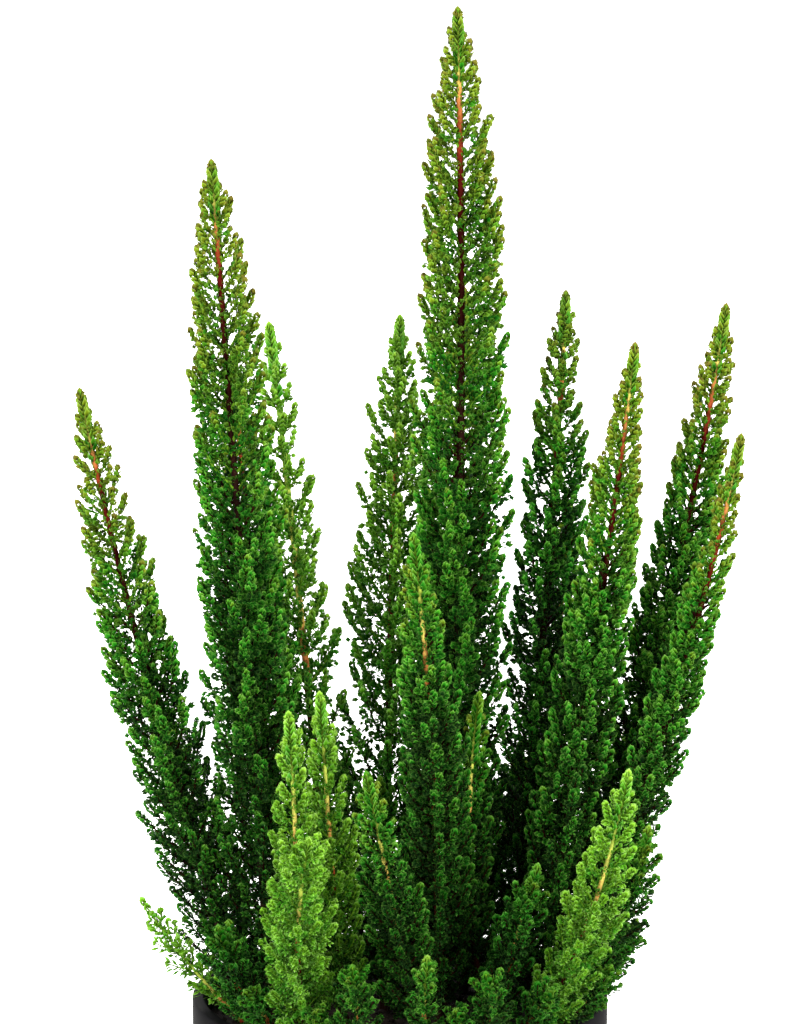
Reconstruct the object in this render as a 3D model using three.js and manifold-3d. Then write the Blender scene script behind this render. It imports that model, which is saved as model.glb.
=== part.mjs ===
// Potted heather: an upright common heather in a plain round nursery pot.
// Millimetres, +Z up, -Y the front. The origin is the centre of the pot's foot.
//
// Every leafy stem is one body: a slim core that tapers to the stem's tip, and whorls of four leafy
// twigs that are raised from it and slant upwards. Each whorl stands between the twigs of the one
// below. A twig that would cross a neighbour's space, the rim or the soil is drawn in.

import * as THREE from "three";
import { mergeVertices } from "three/addons/utils/BufferGeometryUtils.js";
import Module from "manifold-3d";

const wasm = await Module();
wasm.setup();

// ---- Pot and soil ----

const GAP = 0.3; // clearance between pieces that touch
const ROUND = 30; // sides of the pot and the soil

const POT_HEIGHT = 98;
const POT_FOOT_RADIUS = 45;
const POT_SHOULDER_RADIUS = 59.5; // outside, under the rim band
const POT_RIM_RADIUS = 63.5;
const RIM_BAND_HEIGHT = 12;
const POT_WALL = 1.6;
const POT_FLOOR = 2.2;
const DRAIN_HOLES = 6;
const DRAIN_HOLE_RADIUS = 4.5;
const DRAIN_CIRCLE_RADIUS = 30;

const SOIL_EDGE_HEIGHT = 90; // where the soil meets the pot's wall
const SOIL_MOUND_HEIGHT = 93; // in the middle
const STEM_DEPTH = 16; // how far the stems reach down into the soil
const BEND_HEIGHT = 1; // over the soil, where the straight foot goes over into the bowed stem
const JUST_ABOVE = 0.2; // from that bend to the first ring over it

// ---- Leafy stems ----

const STEM_RADIUS = 1.7; // bare wood at the soil, on the longest stems
const SHORT_STEM_RADIUS = 1.3;
const LONG_STEM = 150; // stems longer than this are of the thicker kind
const STEM_SIDES = 8; // two twigs' breadths for each of the four twigs of a whorl
const HOLE_SIDES = 5;
const CORE_SHARE = 0.4; // the leafy core's radius, as a share of the twigs' reach
const CORE_VARIETY = 0.08; // more or less of it, at random
const TIP_CORE_RADIUS = 0.4;
const CORE_TAPER = 0.06; // the core's least growth for each millimetre from the tip
const BARE_FOOT = 6; // bare stem between the soil and the lowest twigs
const FIRST_WHORL = 2.5; // from the tip
const TIP_SPACING = 3; // between whorls at the tip
const LOW_SPACING = 5.6; // between whorls further down
const SPACING_GROWTH = 0.05; // added for each millimetre from the tip
const TAPER_LENGTH = 60; // how fast a long column widens below its tip
const TAPER_SHARE = 0.4; // and a short one, as a share of its leafy length
const TIP_REACH = 1.6; // of the twigs right at the tip
const FOOT_REACH = 0.8; // the lowest twigs' share of the full reach
const FOOT_ZONE = 35; // height over which the column narrows again to its foot
const REACH_VARIETY = 0.14; // a twig reaches out further or less far than its due, at random
const SWAY = 0.15; // and stands this far round to one side, in radians
const RISE = 1.35; // a twig's climb along the stem, as a multiple of how far it stands out
const TWIG_RADIUS = 1.6; // where it leaves the core
const TWIG_SIZES = [1, 0.88, 0.76, 0.64, 0.52, 0.4, 0.28, 0.16]; // tried until one has room
const TWIG_CHECKS = [0.4, 0.7, 1]; // the shares of its length where its room is looked at
const CORE_SKIN = 0.2; // kept free over the core
const DRAWN_IN = 0.88; // each step in of what has no room
const CLEARANCE = 0.3; // between a leafy stem and anything else
const RIM_MARGIN = 2.6; // more of it over the pot's rim
const SAMPLE_STEP = 6; // along the stem, where distances to it are measured
const FIRST_SEED = 1000;

// Each stem rises from its root, at the soil, through a middle point to its tip. Then come how far its
// twigs stand out where the column is full, and the tone of its foliage.
const STEMS = {
  tallest: [[13, 4], [18, 6, 240], [17, 6, 399], 16, "green"],
  tallest_back: [[-5, 18], [-3, 27, 195], [0, 35, 302], 17, "dark"],
  centre_front: [[12, -15], [10, -24, 172], [4, -30, 248], 14, "green"],
  centre_small: [[25, -10], [21, -7, 146], [24, -6, 194], 10, "lime"],
  far_left: [[-47, 2], [-75, 3, 190], [-96, 4, 285], 15, "green"],
  left: [[-39, -5], [-47, 0, 220], [-56, 4, 354], 17, "green"],
  left_back: [[-21, 13], [-29, 24, 196], [-40, 34, 300], 13, "lime"],
  right: [[33, 10], [44, 15, 212], [50, 20, 312], 14, "dark"],
  right_pale: [[41, -8], [59, -4, 212], [70, -2, 300], 13, "green"],
  far_right: [[50, 7.5], [81, 10, 215], [98, 14, 309], 12.5, "green"],
  far_right_pale: [[50, -8.5], [83, -12, 196], [101, -16, 275], 10, "green"],
  front_left_slim: [[-30, -24], [-31, -30, 150], [-33, -34, 195], 10.5, "lime"],
  front_left: [[-17, -19], [-21, -22, 152], [-24, -22, 198], 11, "lime"],
  front_left_lime: [[-26, -42], [-30, -60, 128], [-26, -86, 171], 14, "lime"],
  front_centre: [[5, -36], [-2, -48, 138], [-10, -58, 183], 12.5, "green"],
  front_right_lime: [[40, -30.5], [56, -44, 134], [67, -52, 182], 13, "lime"],
  front_sprig: [[8, -50], [7, -64, 110], [8, -74, 132], 11, "lime"],
  front_right_sprig: [[25.5, -43.5], [27, -56, 106], [25, -64, 124], 11, "green"],
  front_right: [[28, -28], [34, -34, 122], [41, -40, 150], 12, "dark"],
  front_low: [[-10, -49], [-12, -58, 107], [-14, -67, 127], 11, "green"],
  left_loose: [[-46, -16], [-64, -19, 113], [-78, -21, 134], 7.5, "lime"],
  left_low: [[-41, -26], [-49, -36, 112], [-54, -43, 132], 12.5, "dark"],
  right_low: [[47, -18.5], [65, -28, 128], [74, -34, 160], 12.5, "green"],
  middle: [[-5, -3], [-5, -5, 130], [-6, -7, 168], 13, "dark"],
  middle_left: [[-24, -3], [-25, -4, 126], [-25, -5, 162], 12, "dark"],
  middle_right: [[20, 20], [24, 24, 126], [27, 28, 162], 13, "dark"],
  back_left: [[-35, 30], [-44, 46, 190], [-52, 60, 286], 14, "green"],
  back: [[9, 38], [15, 50, 202], [20, 62, 306], 14, "green"],
  back_right: [[37, 32], [47, 50, 170], [53, 64, 238], 13, "green"],
  back_far_right: [[45.5, 21.5], [73, 36, 160], [92, 47, 216], 12, "lime"],
  back_far_left: [[-45, 18], [-63, 32, 138], [-77, 46, 180], 12, "green"],
  back_low: [[6, 50], [6, 62, 112], [5, 73, 140], 11, "green"],
  back_low_left: [[-11, 46], [-17, 62, 124], [-22, 78, 158], 12, "lime"],
  back_low_right: [[22, 45.5], [32, 68, 122], [39, 84, 156], 12, "green"],
  rim_right: [[50.5, 0], [64, -4, 108], [72, -10, 124], 10, "green"],
  rim_right_front: [[44, -24.5], [56, -34, 106], [63, -41, 119], 10, "green"],
  rim_front_right: [[34, -37.5], [40, -48, 106], [46, -58, 117], 10, "dark"],
  rim_front: [[17.5, -47.5], [18, -59, 104], [16, -68, 114], 9, "dark"],
  rim_front_left: [[-19, -47], [-22, -57, 104], [-25, -66, 113], 9, "green"],
  rim_left_front: [[-34, -36], [-40, -45, 104], [-46, -53, 115], 9, "dark"],
};

const TONES = {
  lime: new THREE.MeshStandardMaterial({ color: 0x6f9c35, roughness: 0.7, metalness: 0 }),
  green: new THREE.MeshStandardMaterial({ color: 0x3d7a1f, roughness: 0.7, metalness: 0 }),
  dark: new THREE.MeshStandardMaterial({ color: 0x22551a, roughness: 0.75, metalness: 0 }),
};
const POT_PLASTIC = new THREE.MeshStandardMaterial({ color: 0x1c1d1f, roughness: 0.55, metalness: 0 });
const PEAT = new THREE.MeshStandardMaterial({ color: 0x241a13, roughness: 1, metalness: 0 });

// ---- Helpers ----

// A repeatable stream of numbers between 0 and 1.
function randomFrom(seed) {
  let state = seed;
  return () => {
    state = (state + 0x6d2b79f5) | 0;
    let mixed = Math.imul(state ^ (state >>> 15), 1 | state);
    mixed = (mixed + Math.imul(mixed ^ (mixed >>> 7), 61 | mixed)) ^ mixed;
    return ((mixed ^ (mixed >>> 14)) >>> 0) / 4294967296;
  };
}

function toSolid(geometry) {
  geometry.deleteAttribute("normal");
  geometry.deleteAttribute("uv");
  const merged = mergeVertices(geometry);
  return new wasm.Manifold(
    new wasm.Mesh({
      numProp: 3,
      vertProperties: Float32Array.from(merged.getAttribute("position").array),
      triVerts: Uint32Array.from(merged.index.array),
    }),
  );
}

function toMesh(name, solid, material) {
  const { vertProperties, triVerts } = solid.getMesh();
  const geometry = new THREE.BufferGeometry();
  geometry.setAttribute("position", new THREE.BufferAttribute(vertProperties, 3));
  geometry.setIndex(new THREE.BufferAttribute(triVerts, 1));
  geometry.computeVertexNormals();
  const mesh = new THREE.Mesh(geometry, material);
  mesh.name = name;
  return mesh;
}

// A solid of revolution about +Z, from a profile of [radius, height] pairs.
function turned(profile) {
  const points = profile.map(([radius, height]) => new THREE.Vector2(radius, height));
  return toSolid(new THREE.LatheGeometry(points, ROUND).rotateX(Math.PI / 2));
}

// An upright prism from height low to height high.
function post(radius, sides, low, high, x, y) {
  const prism = new THREE.CylinderGeometry(radius, radius, high - low, sides);
  prism.rotateX(Math.PI / 2).translate(x, y, (low + high) / 2);
  return toSolid(prism);
}

// ---- Pot ----

function wallRadius(height) {
  const share = height / (POT_HEIGHT - RIM_BAND_HEIGHT);
  return POT_FOOT_RADIUS + (POT_SHOULDER_RADIUS - POT_FOOT_RADIUS) * share;
}

const INNER_MOUTH_RADIUS = wallRadius(POT_HEIGHT) - POT_WALL;

function makePot() {
  const bandFoot = POT_HEIGHT - RIM_BAND_HEIGHT;
  let pot = turned([
    [0, 0],
    [POT_FOOT_RADIUS, 0],
    [POT_SHOULDER_RADIUS, bandFoot],
    [POT_RIM_RADIUS, bandFoot + 1],
    [POT_RIM_RADIUS, POT_HEIGHT],
    [INNER_MOUTH_RADIUS, POT_HEIGHT],
    [wallRadius(POT_FLOOR) - POT_WALL, POT_FLOOR],
    [0, POT_FLOOR],
  ]);
  for (let i = 0; i < DRAIN_HOLES; i += 1) {
    const angle = (2 * Math.PI * (i + 0.5)) / DRAIN_HOLES;
    const x = DRAIN_CIRCLE_RADIUS * Math.cos(angle);
    const y = DRAIN_CIRCLE_RADIUS * Math.sin(angle);
    pot = pot.subtract(post(DRAIN_HOLE_RADIUS, 8, -1, POT_FLOOR + 1, x, y));
  }
  return toMesh("pot", pot, POT_PLASTIC);
}

// ---- Soil ----

function soilHeight(x, y) {
  const outwards = Math.min(1, Math.hypot(x, y) / INNER_MOUTH_RADIUS);
  return SOIL_MOUND_HEIGHT + (SOIL_EDGE_HEIGHT - SOIL_MOUND_HEIGHT) * outwards;
}

function makeSoil(stems) {
  const low = POT_FLOOR + GAP;
  let soil = turned([
    [0, low],
    [wallRadius(low) - POT_WALL - GAP, low],
    [wallRadius(SOIL_EDGE_HEIGHT) - POT_WALL - GAP, SOIL_EDGE_HEIGHT],
    [0, SOIL_MOUND_HEIGHT],
  ]);
  for (const { root, stemRadius, footHeight } of stems) {
    const radius = (stemRadius + GAP) / Math.cos(Math.PI / HOLE_SIDES);
    const hole = post(radius, HOLE_SIDES, footHeight - GAP, POT_HEIGHT, root.x, root.y);
    soil = soil.subtract(hole);
  }
  return toMesh("soil", soil, PEAT);
}

// ---- Leafy stems ----

// The stem's line: straight up out of the soil, then one even bow through middle to the tip.
function layOut(name, [root, middle, tip, reach, tone], index) {
  const top = soilHeight(...root) + BEND_HEIGHT;
  const start = new THREE.Vector3(root[0], root[1], top);
  const end = new THREE.Vector3(...tip);
  const control = new THREE.Vector3(...middle).multiplyScalar(2);
  control.addScaledVector(start, -0.5).addScaledVector(end, -0.5);
  const footHeight = soilHeight(...root) - STEM_DEPTH;
  const foot = new THREE.Vector3(root[0], root[1], footHeight);
  const line = new THREE.CurvePath();
  line.add(new THREE.LineCurve3(foot, start));
  line.add(new THREE.QuadraticBezierCurve3(start, control, end));
  const length = line.getLength();
  const leafyLength = length - STEM_DEPTH - BEND_HEIGHT - JUST_ABOVE;
  const stemRadius = leafyLength > LONG_STEM ? STEM_RADIUS : SHORT_STEM_RADIUS;
  const steps = Math.ceil(leafyLength / SAMPLE_STEP);
  const samples = [];
  for (let i = 0; i <= steps; i += 1) {
    samples.push(line.getPoint(1 - (leafyLength * i) / steps / length));
  }
  const random = randomFrom(FIRST_SEED + index);
  const turn = random() * Math.PI;
  const shape = { root: start, line, length, leafyLength, footHeight, stemRadius, samples, turn };
  return { name, reach, tone, random, ...shape };
}

// The twigs' reach at a distance below the tip.
function reachAt(stem, fromTip) {
  const taperLength = Math.min(TAPER_LENGTH, TAPER_SHARE * stem.leafyLength);
  const widening = 1 - Math.exp(-fromTip / taperLength);
  const fromFoot = stem.leafyLength - fromTip;
  const footShare = Math.min(1, FOOT_REACH + ((1 - FOOT_REACH) * fromFoot) / FOOT_ZONE);
  return (TIP_REACH + (stem.reach - TIP_REACH) * widening) * footShare;
}

const nearest = new THREE.Vector3();
const segment = new THREE.Line3();

function distanceTo(stem, point) {
  let least = Infinity;
  for (let i = 1; i < stem.samples.length; i += 1) {
    segment.set(stem.samples[i - 1], stem.samples[i]);
    segment.closestPointToPoint(point, true, nearest);
    least = Math.min(least, nearest.distanceTo(point));
  }
  return least;
}

// True if a ball at the point keeps to the stem's own side of the space between it and every other
// stem, and clear of the soil and the pot's rim.
function isClear(stem, stems, point, radius) {
  const margin = radius + CLEARANCE;
  const outwards = Math.hypot(point.x, point.y);
  const isOverRim = outwards + margin + RIM_MARGIN > INNER_MOUTH_RADIUS;
  const floor = isOverRim ? POT_HEIGHT + RIM_MARGIN : soilHeight(point.x, point.y);
  if (point.z - margin < floor) {
    return false;
  }
  const own = distanceTo(stem, point);
  return stems.every((other) => other === stem || distanceTo(other, point) - own > 2 * margin);
}

function frameAt(stem, fromTip) {
  const station = 1 - fromTip / stem.length;
  const along = stem.line.getTangent(station);
  const across = new THREE.Vector3(1, 0, 0).projectOnPlane(along).normalize();
  const beside = new THREE.Vector3().crossVectors(along, across);
  return { origin: stem.line.getPoint(station), along, across, beside };
}

// A factor that is at random up to the given share above or below 1.
function vary(stem, share) {
  return 1 + share * (2 * stem.random() - 1);
}

// The radius of the core between its twigs, drawn in where a neighbour, the rim or the soil is near.
function coreRadius(stem, stems, fromTip, pointAt) {
  const least = Math.min(stem.stemRadius, TIP_CORE_RADIUS + fromTip * CORE_TAPER);
  const due = reachAt(stem, fromTip) * CORE_SHARE;
  let radius = Math.max(least, due * vary(stem, CORE_VARIETY));
  while (radius > least && !isClear(stem, stems, pointAt(radius, 0), CORE_SKIN)) {
    radius = Math.max(least, radius * DRAWN_IN);
  }
  return radius;
}

// Where a twig that leaves the core at the given radius ends: as far out and up as it has room for.
function twigEnd(stem, stems, fromTip, core, pointAt) {
  const full = reachAt(stem, fromTip) * vary(stem, REACH_VARIETY);
  for (const size of TWIG_SIZES) {
    const out = Math.max(0, (full - core) * size);
    const rise = Math.min(out * RISE, fromTip);
    const hasRoom = TWIG_CHECKS.every((share) => {
      const point = pointAt(core + out * share, rise * share);
      return isClear(stem, stems, point, TWIG_RADIUS * (1 - share));
    });
    if (hasRoom) {
      return pointAt(core + out, rise);
    }
  }
  return pointAt(core, 0);
}

// One ring of points round the stem. Every second point is the end of a twig, and the rings are
// turned by one point from each other, so that a whorl's twigs stand between those above and below.
// The lowest ring has no twigs.
function makeWhorl(stem, stems, fromTip, whorl) {
  const { origin, along, across, beside } = frameAt(stem, fromTip);
  const points = [];
  for (let i = 0; i < STEM_SIDES; i += 1) {
    const isTwig = whorl > 0 && (i + whorl) % 2 === 0;
    const sway = isTwig ? (2 * stem.random() - 1) * SWAY : 0;
    const turn = stem.turn + (2 * Math.PI * i) / STEM_SIDES + sway;
    const outwards = across.clone().multiplyScalar(Math.cos(turn)).addScaledVector(beside, Math.sin(turn));
    const pointAt = (radius, rise) =>
      origin.clone().addScaledVector(outwards, radius).addScaledVector(along, rise);
    const core = coreRadius(stem, stems, fromTip, pointAt);
    points.push(isTwig ? twigEnd(stem, stems, fromTip, core, pointAt) : pointAt(core, 0));
  }
  return points;
}

function bareRing(stem, fromTip) {
  const { origin, across, beside } = frameAt(stem, fromTip);
  const points = [];
  for (let i = 0; i < STEM_SIDES; i += 1) {
    const turn = stem.turn + (2 * Math.PI * i) / STEM_SIDES;
    const point = origin.clone().addScaledVector(across, stem.stemRadius * Math.cos(turn));
    points.push(point.addScaledVector(beside, stem.stemRadius * Math.sin(turn)));
  }
  return points;
}

// Closes the rings, foot first, into one skin. Each four-sided field between two rings is parted
// from hollow to hollow, which leaves every twig as a four-faced spur of its own.
function skinOver(rings, footPoint, tipPoint) {
  const points = [...rings.flat(), footPoint, tipPoint];
  const foot = points.length - 2;
  const tip = points.length - 1;
  const index = [];
  for (let i = 0; i < STEM_SIDES; i += 1) {
    const next = (i + 1) % STEM_SIDES;
    const top = (rings.length - 1) * STEM_SIDES;
    index.push(foot, next, i, tip, top + i, top + next);
    for (let ring = 0; ring < rings.length - 1; ring += 1) {
      const low = ring * STEM_SIDES;
      const high = low + STEM_SIDES;
      if ((i + ring) % 2 === 0) {
        index.push(low + i, low + next, high + i, low + next, high + next, high + i);
      } else {
        index.push(low + i, low + next, high + next, low + i, high + next, high + i);
      }
    }
  }
  const skin = new THREE.BufferGeometry().setFromPoints(points);
  skin.setIndex(index);
  return skin;
}

function makeLeafyStem(stem, stems) {
  const leafy = stem.leafyLength - BARE_FOOT;
  const heights = [];
  for (let fromTip = FIRST_WHORL; fromTip < leafy; ) {
    heights.unshift(fromTip);
    fromTip += Math.min(LOW_SPACING, TIP_SPACING + fromTip * SPACING_GROWTH);
  }
  const bare = [stem.length, stem.leafyLength].map((fromTip) => bareRing(stem, fromTip));
  const whorls = heights.map((fromTip, i) => makeWhorl(stem, stems, fromTip, i));
  const skin = skinOver([...bare, ...whorls], stem.line.getPoint(0), stem.line.getPoint(1));
  return toMesh(stem.name, toSolid(skin), TONES[stem.tone]);
}

// ---- The whole plant in its pot ----

const stems = Object.entries(STEMS).map(([name, row], i) => layOut(`leafy_stem_${name}`, row, i));

const heather = new THREE.Group();
heather.add(makePot());
heather.add(makeSoil(stems));
for (const stem of stems) {
  heather.add(makeLeafyStem(stem, stems));
}

export default heather;
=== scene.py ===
# %% [markdown]
# # A potted heather, dressed for the camera
#
# The part is an upright common heather in a nursery pot. Its solids are ready: a pot, the soil and
# forty leafy stems, each a core with plain spurs. This lesson grows the fine plant in their place:
# scale leaves, short shoots, side twigs and reddening bark, one mesh for each leafy stem. Sizes are
# written in millimetres and become metres when a mesh is made. All chance is drawn from seeds, so
# each run gives the same plant.

# %% Open the frame
import math

import bmesh
import bpy
import numpy as np
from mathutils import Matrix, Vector


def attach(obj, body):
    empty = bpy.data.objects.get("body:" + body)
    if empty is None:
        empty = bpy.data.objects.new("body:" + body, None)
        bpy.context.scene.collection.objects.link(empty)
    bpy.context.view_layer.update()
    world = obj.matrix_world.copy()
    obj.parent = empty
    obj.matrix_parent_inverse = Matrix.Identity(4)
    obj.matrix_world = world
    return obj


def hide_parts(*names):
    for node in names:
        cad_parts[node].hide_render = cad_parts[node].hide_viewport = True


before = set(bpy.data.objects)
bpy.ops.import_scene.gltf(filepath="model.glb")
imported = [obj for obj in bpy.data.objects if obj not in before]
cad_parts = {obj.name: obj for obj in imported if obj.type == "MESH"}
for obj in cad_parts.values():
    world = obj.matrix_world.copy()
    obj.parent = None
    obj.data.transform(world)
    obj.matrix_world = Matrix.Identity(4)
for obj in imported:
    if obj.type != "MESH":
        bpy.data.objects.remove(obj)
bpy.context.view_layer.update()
scene = bpy.context.scene
MM = 0.001
print("nodes in the frame:", len(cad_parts))

# %% [markdown]
# ## Camera
#
# A tall plant keeps its shape only from far away, through a long lens: close by, its tips would
# spread apart. The camera looks down by 12 degrees at a point half way up the plant, and all but
# the rim of the pot falls below the picture. It could be turned by hand, but a look-at direction
# says what it is for.

# %% Set up the camera
AIM = Vector((0, 0, 248)) * MM
CAMERA_DISTANCE = 1.5
CAMERA_ELEVATION = math.radians(12)
FOCAL_PIXELS = 5000
LONG_SIDE_PIXELS = 1024
SENSOR = 36  # its width in millimetres


def put(name, data):
    """A new object with this data, linked into the scene."""
    thing = bpy.data.objects.new(name, data)
    scene.collection.objects.link(thing)
    return thing


away = Vector((0, -math.cos(CAMERA_ELEVATION), math.sin(CAMERA_ELEVATION)))
camera_data = bpy.data.cameras.new("camera")
camera_data.sensor_width = SENSOR
camera_data.lens = SENSOR * FOCAL_PIXELS / LONG_SIDE_PIXELS
camera = put("camera", camera_data)
camera.location = AIM + away * CAMERA_DISTANCE
camera.rotation_euler = (-away).to_track_quat("-Z", "Y").to_euler()
scene.camera = camera
print(f"lens {camera_data.lens:.1f} mm, {CAMERA_DISTANCE} m away")

# %% [markdown]
# ## Writing shaders as sums
#
# A material is a network of small nodes. Wired by hand, each link takes a line of its own. So one
# class wraps a socket, and Python's own signs add the Math nodes: `1 - mask` is a Subtract node.
# Numbers alone are worked out in Python. Colours go through Mix nodes, because a Math node would
# turn them grey.

# %% The socket class and the material desk
class Signal:
    """A number on its way through a material, which grows Math nodes as it is reckoned with."""

    def __init__(self, desk, socket):
        self.desk = desk
        self.socket = socket

    def _math(self, operation, first, second):
        node = self.desk.add("ShaderNodeMath", {"operation": operation}, {0: first, 1: second})
        return Signal(self.desk, node.outputs[0])

    def __add__(self, other):
        return self._math("ADD", self, other)

    def __sub__(self, other):
        return self._math("SUBTRACT", self, other)

    def __rsub__(self, other):
        return self._math("SUBTRACT", other, self)

    def __mul__(self, other):
        return self._math("MULTIPLY", self, other)

    def __pow__(self, other):
        return self._math("POWER", self, other)

    __radd__ = __add__
    __rmul__ = __mul__

    def clamped(self):
        """The same number, kept between 0 and 1."""
        node = self.desk.add("ShaderNodeClamp", {}, {"Value": self})
        return Signal(self.desk, node.outputs[0])


class Desk:
    """A new material and the one way in which nodes are put into it."""

    def __init__(self, name):
        self.material = bpy.data.materials.new(name)
        self.material.use_nodes = True
        self.tree = self.material.node_tree
        self.surface = self.tree.nodes["Principled BSDF"]

    def add(self, kind, settings, sockets):
        """A node of a kind: its settings first, then the value or the link of each socket."""
        node = self.tree.nodes.new(kind)
        for key, value in settings.items():
            if key == "stops":
                self._set_stops(node.color_ramp, value)
            else:
                setattr(node, key, value)
        self.plug(node, sockets)
        return node

    def plug(self, node, sockets):
        """Gives each socket of a node its value, or links it."""
        for key, value in sockets.items():
            if isinstance(value, Signal):
                value = value.socket
            if isinstance(value, bpy.types.NodeSocket):
                self.tree.links.new(value, node.inputs[key])
            else:
                node.inputs[key].default_value = value

    def _set_stops(self, ramp, stops):
        while len(ramp.elements) < len(stops):
            ramp.elements.new(0.5)
        for element, (position, colour) in zip(ramp.elements, stops):
            element.position = position
            element.color = (*colour, 1)

    def attribute(self, name):
        """A number that the mesh carries on its points."""
        node = self.add("ShaderNodeAttribute", {"attribute_name": name}, {})
        return Signal(self, node.outputs["Fac"])

    def noise(self, scale, detail, roughness):
        """Cloudy noise from 0 to 1 in the plant's own space; scale is in waves per metre."""
        place = self.add("ShaderNodeTexCoord", {}, {}).outputs["Object"]
        sockets = {"Vector": place, "Scale": scale, "Detail": detail, "Roughness": roughness}
        node = self.add("ShaderNodeTexNoise", {}, sockets)
        return Signal(self, node.outputs[0])

    def ramp(self, amount, stops):
        """A colour that follows a number through stops of (position, colour)."""
        node = self.add("ShaderNodeValToRGB", {"stops": stops}, {"Fac": amount})
        return node.outputs["Color"]

    def mix(self, amount, first, second):
        """From the first colour to the second as amount goes from 0 to 1."""
        first, second = ((*c, 1) if isinstance(c, tuple) else c for c in (first, second))
        sockets = {0: amount, 6: first, 7: second}  # a Mix node's sockets for colours
        return self.add("ShaderNodeMix", {"data_type": "RGBA"}, sockets).outputs[2]

    def bump(self, height, strength, distance):
        """A surface relief of so many metres from a number between 0 and 1."""
        sockets = {"Height": height, "Strength": strength, "Distance": distance}
        return self.add("ShaderNodeBump", {}, sockets).outputs["Normal"]

    def finish(self, sockets):
        """Sets or links the sockets of the material's own surface shader."""
        self.plug(self.surface, sockets)
        return self.material


# %% [markdown]
# ## Foliage colour
#
# Heather leaves are greenest in full growth and yellow-green or olive while they are new, and the
# buds that close the twigs can be olive or brown. Painted shade darkens them deep inside the bush
# and at the foot of each leaf, and a painted highlight makes each edge and tip pale. One flat green
# would hide all of that, so the mesh carries numbers on its points and the material turns them into
# colour: how young a leaf is, how far out on it a point lies, a chance tint, how much it belongs to
# a bud, and how shaded it is.
# Three tones serve the lime, green and dark stems. The surface is dull, with hardly any gloss.

# %% Make the foliage materials
HALF_YOUNG = 0.28  # how far a leaf of middle age has gone from grown to young
BLOTCHES = 900
FOOT_PAINTED_SHADE = 0.25  # of the deep colour, painted shade at the foot of a leaf
SHADE_DARKNESS = 0.4  # and in full shade


def foliage(name, deep, grown, young, edge, bud, bud_amount):
    desk = Desk(name)
    names = ("youth", "outer", "tint", "bud", "shade")
    youth, outer, tint, is_bud, dark = (desk.attribute(value) for value in names)
    # a leaf's age and chance tint choose its green, and cloudy blotches dull it
    mixed = zip(grown, young)
    half_young = tuple(old * (1 - HALF_YOUNG) + new * HALF_YOUNG for old, new in mixed)
    stops = [(0.0, deep), (0.3, grown), (0.6, half_young), (1.0, young)]
    colour = desk.ramp((youth + (tint - 0.4) * 0.5).clamped(), stops)
    mottle = desk.noise(BLOTCHES, 3, 0.6)
    colour = desk.mix(mottle * 0.3, colour, deep)
    # painted shade at the foot, a painted highlight only along the very edge and tip
    foot = tuple(part * FOOT_PAINTED_SHADE for part in deep)
    colour = desk.mix((1 - outer) ** 1.2, colour, foot)
    colour = desk.mix((outer ** 8.0 * 0.65 * (0.4 + tint)).clamped(), colour, edge)
    # only the buds of young twigs are ripe
    ripe_bud = is_bud * ((youth - 0.55) * 2.6).clamped()
    colour = desk.mix(ripe_bud * bud_amount * (0.5 + tint * 0.5), colour, bud)
    # painted shade: darker deep in the bush's heart and inside each twig
    shaded = tuple(part * SHADE_DARKNESS for part in deep)
    colour = desk.mix(dark * 0.9, colour, shaded)
    return desk.finish({
        "Base Color": colour,
        "Roughness": 0.66 + mottle * 0.15,
        "Normal": desk.bump(mottle, 0.3, 0.0002),
        "Specular IOR Level": 0.06,
    })


# in each tone the fourth colour is the painted highlight on the leaves' edges and tips
FOLIAGE = {
    "lime": foliage(
        "lime heather leaf", (0.004, 0.06, 0.001), (0.026, 0.22, 0.002), (0.14, 0.37, 0.005),
        (0.38, 0.58, 0.2), (0.28, 0.4, 0.04), 0.4,
    ),
    "green": foliage(
        "green heather leaf", (0.0004, 0.02, 0.0006), (0.008, 0.17, 0.001), (0.145, 0.21, 0.002),
        (0.235, 0.45, 0.09), (0.085, 0.045, 0.01), 1.0,
    ),
    "dark": foliage(
        "dark heather leaf", (0.0004, 0.018, 0.0006), (0.007, 0.165, 0.001), (0.12, 0.22, 0.003),
        (0.2, 0.46, 0.09), (0.065, 0.04, 0.01), 1.0,
    ),
}
print("foliage materials:", ", ".join(m.name for m in FOLIAGE.values()))

# %% [markdown]
# ## Bark colour
#
# A heather stem is green when it grows. As it hardens it turns pale yellow, orange and crimson,
# then a maroon that is nearly black, and ends as dull brown wood at the soil. A ramp along the stem
# gives that change in one material: the mesh carries how ripe the wood is. Fine streaks of noise
# move the borders of the colours and keep them from looking painted.

# %% Make the bark material
STREAKS = 1400
RIPENING_COLOURS = [
    (0.03, (0.08, 0.18, 0.01)),  # green
    (0.08, (0.29, 0.35, 0.05)),
    (0.115, (0.4, 0.34, 0.07)),  # pale yellow
    (0.15, (0.32, 0.13, 0.035)),  # orange
    (0.21, (0.17, 0.026, 0.008)),  # crimson
    (0.27, (0.055, 0.003, 0.002)),
    (0.4, (0.02, 0.0015, 0.001)),  # maroon
    (0.6, (0.01, 0.0015, 0.001)),
    (1.0, (0.01, 0.005, 0.003)),  # brown wood
]
WORN_WOOD = (0.2, 0.12, 0.07)


def bark():
    desk = Desk("heather bark")
    ripeness = desk.attribute("ripeness")
    streak = desk.noise(STREAKS, 3, 0.7)
    colour = desk.ramp((ripeness + (streak - 0.5) * 0.1).clamped(), RIPENING_COLOURS)
    colour = desk.mix((streak - 0.55) * ripeness * 0.6, colour, WORN_WOOD)
    return desk.finish({
        "Base Color": colour,
        "Roughness": 0.55 + streak * 0.25,
        "Normal": desk.bump(streak, 0.5, 0.0002),
        "Specular IOR Level": 0.02,
    })


BARK = bark()
print("bark colours:", len(RIPENING_COLOURS))

# %% [markdown]
# ## Where the leafy stems stand
#
# These are the plant's own sizes, the same ones that its solids were made from. For every stem they
# give its root, a point half way up, its tip, how far its twigs stand out and its tone. The last
# number is how far below the tip its bark shows between the rows of twigs. A table is easier to
# read and to change than forty calls.

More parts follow.
